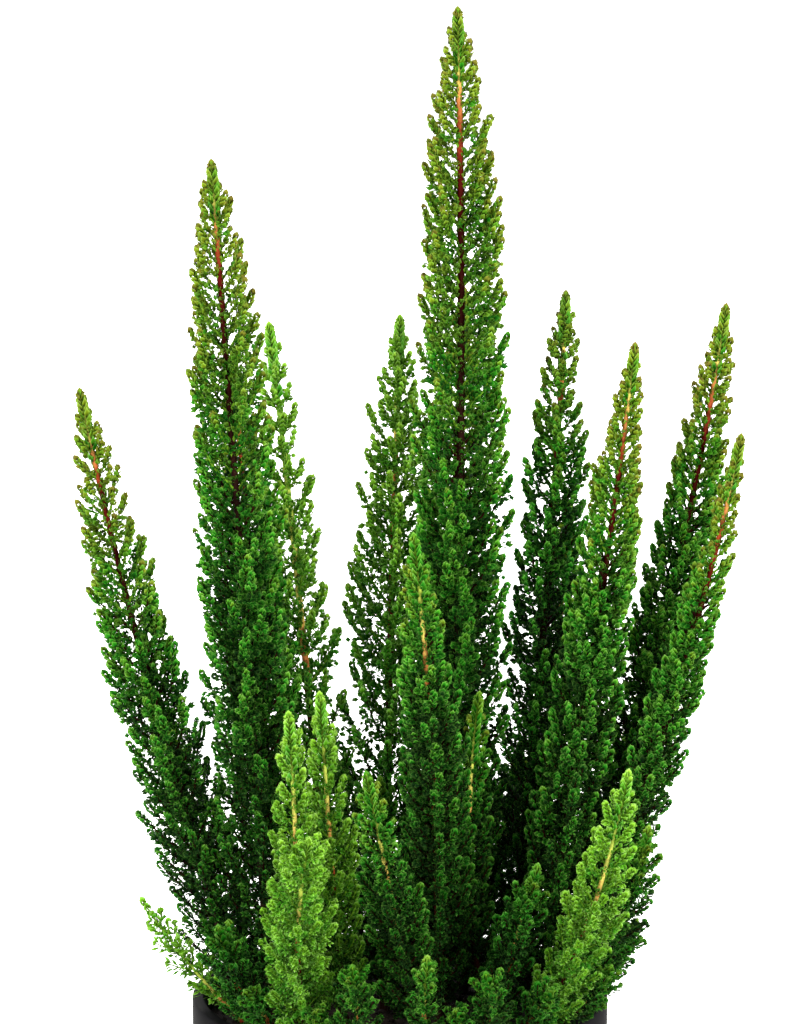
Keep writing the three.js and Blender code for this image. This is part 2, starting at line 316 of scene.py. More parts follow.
# %% Repeat the stems' sizes, in millimetres
STEMS = {
    "tallest": ((13, 4), (18, 6, 240), (17, 6, 399), 16, "green", 160),
    # the back stem takes the lime tone, painted light that brightens it where the tallest shades it
    "tallest_back": ((-5, 18), (-3, 27, 195), (0, 35, 302), 17, "lime", 0),
    "centre_front": ((12, -15), (10, -24, 172), (4, -30, 248), 14, "green", 46),
    "centre_small": ((25, -10), (21, -7, 146), (24, -6, 194), 10, "green", 38),
    "far_left": ((-47, 2), (-75, 3, 190), (-96, 4, 285), 15, "green", 92),
    "left": ((-39, -5), (-47, 0, 220), (-56, 4, 354), 17, "green", 125),
    "left_back": ((-21, 13), (-29, 24, 196), (-40, 34, 300), 13, "lime", 0),
    "right": ((33, 10), (44, 15, 212), (50, 20, 312), 14, "dark", 12),
    "right_pale": ((41, -8), (59, -4, 212), (70, -2, 300), 13, "green", 80),
    "far_right": ((50, 7.5), (81, 10, 215), (98, 14, 309), 12.5, "green", 78),
    "far_right_pale": ((50, -8.5), (83, -12, 196), (101, -16, 275), 10, "green", 65),
    "front_left_slim": ((-30, -24), (-31, -30, 150), (-33, -34, 195), 10.5, "lime", 45),
    "front_left": ((-17, -19), (-21, -22, 152), (-24, -22, 198), 11, "lime", 50),
    "front_left_lime": ((-26, -42), (-30, -60, 128), (-26, -86, 171), 14, "lime", 40),
    "front_centre": ((5, -36), (-2, -48, 138), (-10, -58, 183), 12.5, "green", 35),
    "front_right_lime": ((40, -30.5), (56, -44, 134), (67, -52, 182), 13, "lime", 45),
    "front_sprig": ((8, -50), (7, -64, 110), (8, -74, 132), 11, "green", 14),
    "front_right_sprig": ((25.5, -43.5), (27, -56, 106), (25, -64, 124), 11, "green", 0),
    "front_right": ((28, -28), (34, -34, 122), (41, -40, 150), 12, "dark", 0),
    "front_low": ((-10, -49), (-12, -58, 107), (-14, -67, 127), 11, "green", 0),
    "left_loose": ((-46, -16), (-64, -19, 113), (-78, -21, 134), 7.5, "lime", 60),
    "left_low": ((-41, -26), (-49, -36, 112), (-54, -43, 132), 12.5, "dark", 0),
    "right_low": ((47, -18.5), (65, -28, 128), (74, -34, 160), 12.5, "green", 0),
    "middle": ((-5, -3), (-5, -5, 130), (-6, -7, 168), 13, "dark", 0),
    "middle_left": ((-24, -3), (-25, -4, 126), (-25, -5, 162), 12, "dark", 0),
    "middle_right": ((20, 20), (24, 24, 126), (27, 28, 162), 13, "dark", 0),
    "back_left": ((-35, 30), (-44, 46, 190), (-52, 60, 286), 14, "green", 80),
    "back": ((9, 38), (15, 50, 202), (20, 62, 306), 14, "green", 90),
    "back_right": ((37, 32), (47, 50, 170), (53, 64, 238), 13, "green", 60),
    "back_far_right": ((45.5, 21.5), (73, 36, 160), (92, 47, 216), 12, "lime", 45),
    "back_far_left": ((-45, 18), (-63, 32, 138), (-77, 46, 180), 12, "green", 40),
    "back_low": ((6, 50), (6, 62, 112), (5, 73, 140), 11, "green", 20),
    "back_low_left": ((-11, 46), (-17, 62, 124), (-22, 78, 158), 12, "lime", 30),
    "back_low_right": ((22, 45.5), (32, 68, 122), (39, 84, 156), 12, "green", 25),
    "rim_right": ((50.5, 0), (64, -4, 108), (72, -10, 124), 10, "green", 0),
    "rim_right_front": ((44, -24.5), (56, -34, 106), (63, -41, 119), 10, "green", 0),
    "rim_front_right": ((34, -37.5), (40, -48, 106), (46, -58, 117), 10, "dark", 0),
    "rim_front": ((17.5, -47.5), (18, -59, 104), (16, -68, 114), 9, "dark", 0),
    "rim_front_left": ((-19, -47), (-22, -57, 104), (-25, -66, 113), 9, "green", 0),
    "rim_left_front": ((-34, -36), (-40, -45, 104), (-46, -53, 115), 9, "dark", 0),
}
LOOSE = {"left_loose"}  # grown in the shade, with few twigs and spread leaves
print(len(STEMS), "leafy stems, the highest at", max(stem[2][2] for stem in STEMS.values()), "mm")

# %% [markdown]
# ## The pot's sizes
#
# The stems need to know where the soil and the pot's rim are, so the pot's sizes come first, again
# the same ones that its solid was made from. Its wall is a plain cone under a straight rim band,
# and the soil is a low mound inside it.

# %% Repeat the pot's and the soil's sizes, in millimetres
POT_HEIGHT = 98
POT_FOOT_RADIUS = 45
POT_SHOULDER_RADIUS = 59.5
POT_RIM_RADIUS = 63.5
RIM_BAND_HEIGHT = 12
POT_WALL = 1.6
POT_FLOOR = 2.2
DRAIN_HOLES = 6
DRAIN_HOLE_RADIUS = 4.5
DRAIN_CIRCLE_RADIUS = 30
GAP = 0.3  # between the pot and the soil
SOIL_EDGE_HEIGHT = 90
SOIL_MOUND_HEIGHT = 93


def wall_radius(height):
    """The pot's outer radius under its rim band."""
    share = height / (POT_HEIGHT - RIM_BAND_HEIGHT)
    return POT_FOOT_RADIUS + (POT_SHOULDER_RADIUS - POT_FOOT_RADIUS) * share


MOUTH_RADIUS = wall_radius(POT_HEIGHT) - POT_WALL


def soil_height(x, y):
    outwards = np.minimum(1, np.hypot(x, y) / MOUTH_RADIUS)
    return SOIL_MOUND_HEIGHT + (SOIL_EDGE_HEIGHT - SOIL_MOUND_HEIGHT) * outwards


print(f"the mouth of the pot is {2 * MOUTH_RADIUS:.1f} mm wide")

# %% [markdown]
# ## The line of a stem
#
# Every stem rises straight out of the soil and then bows evenly through its middle point to its
# tip. The bow is a quadratic curve, which needs only three points. It is sampled once, close enough
# that everything that grows on it can look up a place by its distance below the tip. The line also
# knows how far twigs stand out: little at the tip, more and more over a taper, and a little less at
# the foot. One stem was cut once and has forked, so its taper is short.

# %% Lay out the stems' lines
STEM_DEPTH = 16  # how deep the stems stand in the soil
BEND_HEIGHT = 1  # how far above it they begin to bow
STEM_RADIUS = 1.7  # at the foot
SHORT_STEM_RADIUS = 1.3
LONG_STEM = 150  # a longer stem than this has the thicker foot
TIP_RADIUS = 0.4
THICKENING = 550  # so many millimetres of stem make it a millimetre thicker
FIRST_TWIG = 11  # the distance of the highest twig from the tip
FIRST_TWIG_SHARE = 0.2  # or, on a short stem, its share of the stem
TAPER_LENGTH = 60
TAPER_SHARE = 0.4
TIP_REACH = 1.6  # how far leaves stand out at the tip
FOOT_REACH = 0.8  # the share of the full reach at the foot
FOOT_ZONE = 35
FORKED = {"front_left_lime"}  # once cut, so that twigs stand as high as its tip
FORKED_TAPER = 16
FORKED_FIRST_TWIG = 5
SLIMMING = {"front_left_lime": 0.84, "front_sprig": 0.75, "left": 0.93, "far_left": 0.95}


def unit(vectors):
    return vectors / np.linalg.norm(vectors, axis=-1, keepdims=True)


def curve(start, control, end, t):
    """Points on a quadratic curve, at shares t of the way along it."""
    t = t[:, None]
    return (1 - t) ** 2 * start + 2 * t * (1 - t) * control + t**2 * end


class StemLine:
    """A stem's middle line, from its tip (distance 0) down to its buried foot."""

    SAMPLES = 160

    def __init__(self, root, middle, tip, reach, is_forked):
        top = soil_height(*root) + BEND_HEIGHT
        start, middle, tip = (np.array(p, float) for p in ((*root, top), middle, tip))
        control = 2 * middle - (start + tip) / 2
        bow = curve(start, control, tip, np.linspace(1, 0, self.SAMPLES))
        foot = np.array([[*root, soil_height(*root) - STEM_DEPTH]])
        self.points = np.vstack([bow, foot])
        steps = np.linalg.norm(np.diff(self.points, axis=0), axis=1)
        self.distances = np.concatenate([[0], np.cumsum(steps)])
        self.leafy_length = self.distances[-2]
        self.length = self.distances[-1]
        self.full_reach = reach
        self.taper_length = min(TAPER_LENGTH, TAPER_SHARE * self.leafy_length)
        self.first_twig = min(FIRST_TWIG, FIRST_TWIG_SHARE * self.leafy_length)
        if is_forked:
            self.taper_length, self.first_twig = FORKED_TAPER, FORKED_FIRST_TWIG
        self.foot_radius = STEM_RADIUS if self.leafy_length > LONG_STEM else SHORT_STEM_RADIUS

    def at(self, distance):
        """The points on the line at these distances below the tip."""
        return np.stack([np.interp(distance, self.distances, axis) for axis in self.points.T], -1)

    def frame(self, distance):
        """Three unit vectors at these distances: towards +X, towards +Y, and along to the tip."""
        along = unit(self.at(np.maximum(distance - 1, 0)) - self.at(distance + 1))
        across = unit(np.array([1.0, 0, 0]) - along * along[..., :1])
        return across, np.cross(along, across), along

    def reach(self, distance):
        """How far twigs stand out that grow at these distances."""
        widening = 1 - np.exp(-distance / self.taper_length)
        from_foot = self.leafy_length - distance
        foot_share = np.minimum(1, FOOT_REACH + (1 - FOOT_REACH) * from_foot / FOOT_ZONE)
        return (TIP_REACH + (self.full_reach - TIP_REACH) * widening) * foot_share

    def radius(self, distance):
        """The bark's radius: a thin green tip that thickens steadily, and faster near the soil."""
        thick = 0.5 + self.leafy_length / THICKENING
        slim = TIP_RADIUS + (thick - TIP_RADIUS) * (1 - np.exp(-distance / 20))
        to_foot = np.clip(distance / self.leafy_length, 0, 1)
        return slim + (self.foot_radius - thick) * to_foot**2.5


LINES = {}
for name, (root, middle, tip, reach, *_) in STEMS.items():
    LINES[name] = StemLine(root, middle, tip, reach * SLIMMING.get(name, 1), name in FORKED)
leafy = sum(line.leafy_length for line in LINES.values()) * MM
print(f"{len(LINES)} stems with {leafy:.2f} m of leafy line")

# %% [markdown]
# ## Room for the twigs
#
# Neighbouring stems share the space between them, as on a real bush, where twigs that meet shade
# each other out. A point belongs to the nearest stem's line, so a twig is drawn in until it is
# about on its own side, over the soil and over the pot's rim. That is simpler than moving twigs
# apart, and it is the same whichever stem grows first.

# %% Find how far each twig may grow
SAMPLE_SPACING = 6
SAMPLES = [line.at(np.arange(0, line.leafy_length, SAMPLE_SPACING)) for line in LINES.values()]
ALL_SAMPLES = np.vstack(SAMPLES)
SAMPLE_OWNERS = np.repeat(np.arange(len(SAMPLES)), [len(samples) for samples in SAMPLES])
MINGLING = 4.0  # how far twigs of neighbours may pass between each other
RIM_MARGIN = 2.6  # how far twigs keep from the rim of the pot
print(len(ALL_SAMPLES), "points say whose the space is")


def has_room(index, points, margin):
    """For each point: is it about on this stem's own side, and over the soil and the rim?"""
    gaps = np.linalg.norm(points[:, None] - ALL_SAMPLES[None], axis=2)
    own = np.where(SAMPLE_OWNERS == index, gaps, np.inf).min(1)
    other = np.where(SAMPLE_OWNERS != index, gaps, np.inf).min(1)
    outwards = np.hypot(points[:, 0], points[:, 1])
    over_rim = outwards + margin + RIM_MARGIN > MOUTH_RADIUS
    floor = np.where(over_rim, POT_HEIGHT + RIM_MARGIN, soil_height(points[:, 0], points[:, 1]))
    return (other - own > -2 * MINGLING) & (points[:, 2] - margin > floor)


# %% [markdown]
# ## Light and shade
#
# A bush is lit from above and from outside. High up, leaves lie close and young tips turn olive.
# Low down they are smaller and spread, and painted shade darkens them, most of all in its heart. A
# few short rules say how much, from 0 to 1, and everything that grows asks them where it stands.

# %% Rules of light
SHADE_LOW = 120  # below this height the leaves are in full shade
SHADE_HIGH = 200  # and above this in full light
HEART_HEIGHT = 185  # below this and near the middle of the bush, painted shade darkens the leaves
HEART_DEPTH = 70
HEART_RADIUS = 95
LIT_END = 4  # of a twig, where light still comes in from outside
SHADING_LENGTH = 9
TWIG_SHADE = 0.55


def freshness(distance, half_way):
    """How young the leaves are at a distance below the tip, from 1 to 0."""
    return 1 / (1 + (distance / half_way) ** 3)


def shade(height):
    """From 1 low in the bush, where leaves stay spread and dark, to 0 high up in the light."""
    return np.clip((SHADE_HIGH - height) / (SHADE_HIGH - SHADE_LOW), 0, 1)


def heart_shade(points):
    """From 0 outside to 1 in the heart of the bush, just over the soil."""
    low = np.clip((HEART_HEIGHT - points[:, 2]) / HEART_DEPTH, 0, 1)
    return low * np.clip(1 - np.hypot(points[:, 0], points[:, 1]) / HEART_RADIUS, 0, 1)


def inner_depth(from_end):
    """From 0 to about a half: how shaded a leaf is so far inside from a twig's end."""
    return np.clip((from_end - LIT_END) / SHADING_LENGTH, 0, 1) * TWIG_SHADE


print("shade at the soil and half way up:", shade(100), shade(160))

# %% [markdown]
# ## Shapes to copy: a leaf, an end and a short shoot
#
# A heather leaf is a scale about 2 mm long, folded along its back into a keel. Two faces that meet
# in a ridge give that shape, and there are hundreds of thousands of leaves, so it stays at two.
# They stand in pairs, each turned by a quarter from the last, which makes a stout four-angled
# shoot. It tapers: small leaves at its foot, the largest near its end, where young upright ones
# close it, so that it looks like a small finger. In the shade its leaves are narrow and spread.
# Each shape is made once, in millimetres with +Z along the shoot, and then copied by one matrix
# product for all its places, which is far quicker than one object each.

# %% Make the shapes
class Shape:
    """Points and triangles to copy; for each point, how far out on its leaf and how bud-like."""

    def __init__(self, points, triangles, outer, bud):
        self.points = np.array(points, float)
        self.triangles = np.array(triangles, int)
        self.outer = np.array(outer, float)
        self.bud = np.array(bud, float)

    def placed(self, angle, rise, size, spread):
        """The shape turned about the shoot, moved up it, resized and opened outwards."""
        cos, sin = math.cos(angle), math.sin(angle)
        turn = np.array([[cos, sin, 0], [-sin, cos, 0], [0, 0, 1]])
        points = self.points * [spread * size, size, size] @ turn + [0, 0, rise]
        return Shape(points, self.triangles, self.outer, self.bud)


def joined(shapes):
    """One shape out of several."""
    starts = np.cumsum([0] + [len(s.points) for s in shapes[:-1]])
    return Shape(
        np.vstack([s.points for s in shapes]),
        np.vstack([s.triangles + start for s, start in zip(shapes, starts)]),
        np.concatenate([s.outer for s in shapes]),
        np.concatenate([s.bud for s in shapes]),
    )


QUARTER = math.pi / 2
LEAF = Shape(
    [(0.3, 0, -0.15), (0.72, -0.68, 0.8), (0.72, 0.68, 0.8), (0.92, 0, 1.8)],
    [(0, 2, 3), (0, 3, 1)],
    [0, 0.9, 0.9, 1],
    [0, 0, 0, 0.3],
)
SPREAD_LEAF = Shape(
    [(0.25, 0, -0.1), (0.74, -0.38, 0.6), (0.74, 0.38, 0.6), (1.2, 0, 1.2)],
    LEAF.triangles,
    LEAF.outer,
    [0, 0, 0, 0],
)
YOUNG_LEAF = Shape(
    [(0.3, 0, -0.15), (0.76, -0.76, 0.65), (0.76, 0.76, 0.65), (0.3, 0, 1.45)],
    LEAF.triangles,
    LEAF.outer,
    [0.2, 0.8, 0.8, 1],
)
STALK = Shape(
    [(0.35, 0, -0.6), (-0.18, 0.3, -0.6), (-0.18, -0.3, -0.6), (0, 0, 2)],
    [(0, 1, 3), (1, 2, 3), (2, 0, 3)],
    [0.3, 0.3, 0.3, 0.3],
    [0, 0, 0, 0],
)
SHOOT_TAPER = 0.14  # each pair of leaves below the end is this much smaller
PAIR_STEP = 1.02  # between the pairs of a short shoot
OPEN_PAIR_STEP = 0.75
END_SIZE = 0.85  # of the last pair
END_SPREAD = 0.75


def leaf_pair(shape, quarter, rise, size, spread):
    turns = (quarter * QUARTER, quarter * QUARTER + math.pi)
    return [shape.placed(turn, rise, size, spread) for turn in turns]


def short_shoot(pairs, is_open):
    """A stalk with pairs of leaves, of which the last one is young and closes it or is spread."""
    parts = [STALK] if pairs > 1 else []
    leaf, last, step = LEAF, YOUNG_LEAF, PAIR_STEP
    if is_open:
        leaf, last, step = SPREAD_LEAF, SPREAD_LEAF, OPEN_PAIR_STEP
    for i in range(pairs):
        parts += leaf_pair(leaf, i, i * step, 1 - SHOOT_TAPER * (pairs - 1 - i), 1)
    parts += leaf_pair(last, pairs, pairs * step - 0.15, END_SIZE, END_SPREAD)
    return joined(parts)


SHORT_SHOOTS = {
    (pairs, is_open): short_shoot(pairs, is_open)
    for pairs in (1, 2, 3, 4)
    for is_open in (False, True)
}
END = joined(leaf_pair(YOUNG_LEAF, 0, 0, 1, 0.9) + leaf_pair(YOUNG_LEAF, 1, 0.5, 0.9, 0.55))
print("triangles of the short shoots:", [len(s.triangles) for s in SHORT_SHOOTS.values()])

# %% [markdown]
# ## Gathering a piece
#
# A leafy stem has thousands of copies. Adding objects one by one would take minutes, so a growing
# piece only collects arrays, and they become one mesh at the end. Each copy gets its own place,
# frame, size, youth, tint and depth of shade. Bark is made in the same way, as tubes round a line.

# %% A growing piece
class Growth:
    """Collects the parts of one leafy stem and makes them into one mesh object."""

    VALUES = ("youth", "outer", "tint", "bud", "ripeness", "shade")

    def __init__(self):
        self.points = []
        self.triangles = []
        self.values = []
        self.is_bark = []
        self.count = 0

    def add(self, points, triangles, values, is_bark):
        self.points.append(points)
        self.triangles.append(triangles + self.count)
        self.values.append(values)
        self.is_bark.append(np.full(len(triangles), is_bark))
        self.count += len(points)

    def values_of(self, size, **columns):
        """A row of numbers for each point, in the order of VALUES. Those not named are 0."""
        values = np.zeros((*size, len(self.VALUES)))
        for name, column in columns.items():
            values[..., self.VALUES.index(name)] = column
        return values.reshape(-1, len(self.VALUES))

    def copy(self, shape, places, frames, sizes, youth, tint, depth):
        """Copies of a shape; frames hold the three axes as rows, sizes three scales for each."""
        if not len(places):
            return
        n, m = len(places), len(shape.points)
        local = shape.points[None] * sizes[:, None]
        points = (np.einsum("nmi,nij->nmj", local, frames) + places[:, None]).reshape(-1, 3)
        offsets = (np.arange(n) * m)[:, None, None]
        triangles = (shape.triangles[None] + offsets).reshape(-1, 3)
        values = self.values_of(
            (n, m),
            youth=youth[:, None],
            outer=shape.outer,
            tint=tint[:, None],
            bud=shape.bud * (1 - shade(places[:, 2:])),
            shade=1 - (1 - heart_shade(places)[:, None]) * (1 - depth[:, None]),
        )
        self.add(points, triangles, values, False)

    def tube(self, line, radii, sides, ripeness, frames):
        """Bark round a line of points, open at both ends, which lie inside leaves or soil."""
        n = len(line)
        angles = (np.arange(sides) * 2 * math.pi / sides)[None, :, None]
        across, beside = frames
        ring = np.cos(angles) * across[:, None] + np.sin(angles) * beside[:, None]
        points = (line[:, None] + ring * radii[:, None, None]).reshape(-1, 3)
        low = (np.arange(n - 1) * sides)[:, None]
        i = np.arange(sides)[None]
        j = (i + 1) % sides
        quads = [low + i, low + j, low + sides + j, low + sides + i]
        a, b, c, d = (q.reshape(-1) for q in quads)
        triangles = np.vstack([np.stack([a, b, c], 1), np.stack([a, c, d], 1)])
        values = self.values_of((n, sides), ripeness=ripeness[:, None])
        self.add(points, triangles, values, True)

    def make(self, name, materials):
        """The mesh object, with leaves in the first material and bark in the second."""
        points = np.vstack(self.points) * MM
        triangles = np.vstack(self.triangles).astype(np.int32)
        values = np.vstack(self.values)
        mesh = bpy.data.meshes.new(name)
        mesh.vertices.add(len(points))
        mesh.vertices.foreach_set("co", points.ravel())
        mesh.loops.add(triangles.size)
        mesh.loops.foreach_set("vertex_index", triangles.ravel())
        mesh.polygons.add(len(triangles))
        corners = np.arange(len(triangles), dtype=np.int32) * 3
        mesh.polygons.foreach_set("loop_start", corners)
        for value, column in zip(self.VALUES, values.T):
            layer = mesh.attributes.new(value, "FLOAT", "POINT")
            layer.data.foreach_set("value", column.astype(np.float32))
        is_bark = np.concatenate(self.is_bark)
        mesh.update(calc_edges=True)
        for material in materials:
            mesh.materials.append(material)
        mesh.polygons.foreach_set("material_index", is_bark.astype(np.int32))
        mesh.shade_smooth()
        return put(name, mesh)


# %% [markdown]
# ## The line of a twig
#
# A heather twig leaves its stem outwards and then bends up along it, which the same quadratic curve
# gives. Whatever grows on a line needs a frame there: which way is out, sideways and along.

# %% A twig's line and the frames on it
TWIG_ROOT = 0.5  # where a twig starts inside its stem, as a share of the stem's radius
TWIG_BEND_OUT = 0.62  # where it bends, as a share of how far it stands out
TWIG_BEND_UP = 0.4  # and of its climb


def tangents(start, control, end, t):
    t = t[:, None]
    return unit(2 * (1 - t) * (control - start) + 2 * t * (end - control))


class Twig:
    """One side twig: a line that leaves the stem outwards and bends up along it."""

    SAMPLES = 9

    def __init__(self, origin, outward, along, core, out, rise, sway):
        sideways = np.cross(along, outward)
        bend_out = core + out * TWIG_BEND_OUT
        self.start = origin + outward * core * TWIG_ROOT
        self.control = origin + outward * bend_out + along * rise * TWIG_BEND_UP
        self.end = origin + outward * (core + out) + along * rise + sideways * sway * out
        self.outward = outward
        points = curve(self.start, self.control, self.end, np.linspace(0, 1, self.SAMPLES))
        self.length = np.linalg.norm(np.diff(points, axis=0), axis=1).sum()

    def stations(self, distances):
        """Points and unit vectors (outward, sideways, along) at these distances from its foot."""
        t = np.clip(distances / self.length, 0, 1)
        points = curve(self.start, self.control, self.end, t)
        along = tangents(self.start, self.control, self.end, t)
        beside = unit(np.cross(along, self.outward))
        return points, np.cross(beside, along), beside, along


def around(out, beside, angles):
    """Directions away from a line, at angles from out towards beside."""
    return out * np.cos(angles)[:, None] + beside * np.sin(angles)[:, None]


def stand_round(out, beside, along, angles):
    """Frames for things that stand round a line: away from it at the given angles."""
    away_from = around(out, beside, angles)
    return np.stack([away_from, np.cross(along, away_from), along], 1)


def lean(frames, angle):
    """Frames tipped over outwards by an angle: +Z goes towards what was +X."""
    cos, sin = np.cos(angle)[:, None], np.sin(angle)[:, None]
    x, y, z = frames[:, 0], frames[:, 1], frames[:, 2]
    return np.stack([x * cos - z * sin, y, z * cos + x * sin], 1)


# %% [markdown]
# ## Leaves and short shoots on a line
#
# Main shoots and twigs carry the same two things. Scale leaves stand in pairs, each turned by a
# quarter from the last. The first starts half a quarter round, so that no leaf is seen edge on and
# the pairs close into a braid. Short shoots lean outwards, each with its own number of pairs.

# %% Put leaves and short shoots on a line
LEAF_SWAY = 0.1


def scale_leaves(growth, rng, stations, shape, sizes, spread, youth, depth):
    """Pairs of scale leaves at the stations of a line, each a quarter round from the last."""
    points, out, beside, along = stations
    count = len(points)
    quarter = (np.arange(count) % 2 + 0.5) * QUARTER
    for side in (0, math.pi):
        frames = stand_round(out, beside, along, quarter + side)
        frames = lean(frames, rng.normal(0, LEAF_SWAY, count))
        scales = np.stack([sizes * spread, sizes, sizes], 1)
        growth.copy(shape, points, frames, scales, youth, rng.random(count), depth)


def short_shoots(growth, stations, angles, leans, pairs, is_open, sizes, youth, tint, depth):
    """Short shoots at the stations of a line, each of its own number of pairs and size."""
    points, out, beside, along = stations
    frames = lean(stand_round(out, beside, along, angles), leans)
    for (count, opened), shape in SHORT_SHOOTS.items():
        pick = (pairs == count) & (is_open == opened)
        scales = np.repeat(sizes[pick][:, None], 3, axis=1)
        values = (youth[pick], tint[pick], depth[pick])
        growth.copy(shape, points[pick], frames[pick], scales, *values)


# %% [markdown]
# ## One side twig
#
# A twig ends in a club of close leaf pairs. Further in there is only every second pair, because
# short shoots hide the rest: two at its sides and then one above and one below, in turn. The
# further a short shoot is from the twig's end, the longer it is, up to four pairs. Low in the bush
# leaves and shoots are smaller, closer and more open. The loose stem has large spread leaves.

# %% Sizes of twigs
CLUB = 5.5  # the closely leaved end of a twig
CLUB_STEP = 0.8  # between its pairs of leaves
CLUB_LEAF_SIZE = 1.16
INNER_LEAF_SIZE = 0.88
LOW_LEAF_SIZE = 0.78  # leaves and short shoots are this much smaller low in the bush
LOOSE_LEAF_SIZE = 1.35
LOOSE_STEP = 1.3  # the steps between pairs are this much longer on the loose stem
FIRST_LEAF = 1.4  # distances from the twig's end to its first pair and first short shoots
FIRST_SHOOT = 3.0
SHOOT_SPACING = 2.3
LOW_SHOOT_SPACING = 0.8  # low in the bush the short shoots are this much closer
SHOOT_ANGLE = math.radians(49)
SHOOT_SWAY = 0.25
TINT_SWAY = 0.25
PAIR_LENGTH = 3.4  # for so many millimetres from the end, a short shoot has one more pair
INNER_SHOOTS = 0.5  # this share of them has grown on the shaded side
LOOSE_SHOOTS = 0.5
OUTER_SHOOTS = 0.95
OPEN_SHOOTS = 0.8  # this share of them is spread in full shade
TIP_YOUTH = 0.32  # even on old wood, a twig's end can be as young as this
TIP_AGEING = 5
CLEARNESS = 0.6  # a young twig shades its own inner leaves by so much less


def twig_youth(from_end, fresh, tip_youth, oldest, ageing):
    """How young a twig's leaves are: fresh at the end, a share of that further in."""
    aged = oldest + (1 - oldest) * np.exp(-from_end / ageing)
    return fresh * aged + tip_youth * np.exp(-from_end / TIP_AGEING)


def low_size(low, share=1):
    """How large leaves are where the bush is low, by a share of the full effect."""
    return 1 - (1 - LOW_LEAF_SIZE) * low * share


print("leaf size high up and low down:", low_size(0), low_size(1))

# %% Grow one twig
def leaves_on_twig(growth, rng, twig, fresh, tip_youth, is_loose):
    step, leaf = (CLUB_STEP * LOOSE_STEP, SPREAD_LEAF) if is_loose else (CLUB_STEP, LEAF)
    from_end = np.arange(FIRST_LEAF, twig.length - 0.8, step)
    from_end = from_end[(from_end < CLUB) | (np.arange(len(from_end)) % 2 == 0)]
    stations = twig.stations(twig.length - from_end)
    youth = twig_youth(from_end, fresh, tip_youth, 0.6, 9)
    low = shade(stations[0][:, 2])
    spread = 0.98 + low * rng.uniform(0.3, 0.8, len(from_end))
    sizes = np.where(from_end < CLUB, CLUB_LEAF_SIZE + from_end / 30, INNER_LEAF_SIZE)
    sizes = sizes * rng.uniform(0.92, 1.08, len(from_end))
    sizes *= LOOSE_LEAF_SIZE if is_loose else low_size(low)
    depth = inner_depth(from_end) * (1 - fresh * CLEARNESS)
    scale_leaves(growth, rng, stations, leaf, sizes, spread, youth, depth)


def places_of_shoots(rng, twig, is_loose):
    """Distances from the end and directions of a twig's short shoots."""
    closeness = 1 - (1 - LOW_SHOOT_SPACING) * shade(twig.end[2])
    from_end = np.arange(FIRST_SHOOT, twig.length - 1.2, SHOOT_SPACING * closeness)
    nodes = len(from_end)
    angles = np.where(np.arange(nodes) % 2, QUARTER, 0)
    from_end, angles = np.repeat(from_end, 2), np.repeat(angles, 2)
    is_inner = np.tile([False, True], nodes) & (angles == 0)
    angles = angles + np.tile([0, math.pi], nodes) + rng.normal(0, SHOOT_SWAY, len(angles))
    wanted = np.where(is_inner, INNER_SHOOTS, LOOSE_SHOOTS if is_loose else OUTER_SHOOTS)
    keep = rng.random(len(angles)) < wanted
    return from_end[keep] + rng.uniform(-0.4, 0.4, keep.sum()), angles[keep]


def shoots_on_twig(growth, rng, twig, fresh, tip_youth, tint, is_loose):
    from_end, angles = places_of_shoots(rng, twig, is_loose)
    count = len(from_end)
    if not count:
        return
    stations = twig.stations(twig.length - from_end)
    low = shade(stations[0][:, 2])
    sizes = np.clip(0.9 + 0.025 * from_end, 0.9, 1.2) * rng.uniform(0.9, 1.1, count)
    sizes *= LOOSE_LEAF_SIZE if is_loose else low_size(low, 0.6)
    pairs = np.round(from_end / PAIR_LENGTH + rng.uniform(-0.4, 0.4, count))
    leans = SHOOT_ANGLE + rng.normal(0, 0.2, count) + low * 0.2
    youth = twig_youth(from_end, fresh, tip_youth, 0.65, 10) * rng.uniform(0.75, 1.1, count)
    is_open = rng.random(count) < (1 if is_loose else low * OPEN_SHOOTS)
    tints = np.clip(tint + rng.normal(0, TINT_SWAY, count), 0, 1)
    depth = inner_depth(from_end) * (1 - fresh * CLEARNESS)
    looks = (sizes, youth, tints, depth)
    short_shoots(growth, stations, angles, leans, np.clip(pairs, 1, 4), is_open, *looks)


def end_of_twig(growth, rng, twig, fresh, tip_youth, tint):
    points, out, beside, along = twig.stations(np.array([twig.length - 0.8]))
    frames = stand_round(out, beside, along, rng.uniform(0, 1, 1))
    low = shade(points[0, 2])
    wide = 1 + low * 0.4
    scales = rng.uniform(1.1, 1.3) * np.array([[wide, wide, 1]]) * low_size(low)
    values = (np.array([fresh + tip_youth]), np.array([tint]), np.zeros(1))
    growth.copy(END, points, frames, scales, *values)


def grow_twig(growth, rng, twig, fresh, is_loose):
    """Leaves, short shoots and a closed end on one twig. fresh is how young its part is."""
    tint = rng.random()
    tip_youth = rng.uniform(0, TIP_YOUTH)
    leaves_on_twig(growth, rng, twig, fresh, tip_youth, is_loose)
    shoots_on_twig(growth, rng, twig, fresh, tip_youth, tint, is_loose)
    end_of_twig(growth, rng, twig, fresh, tip_youth, tint)


# %% [markdown]
# ## The main shoot
#
# The main shoot ends in a crown of close scale leaves up to its end bud. Below the crown its own
# leaves thin out, and short shoots stand straight on it, in rows at both sides of the bark and
# behind. Where the bark no longer shows, they stand before it too.

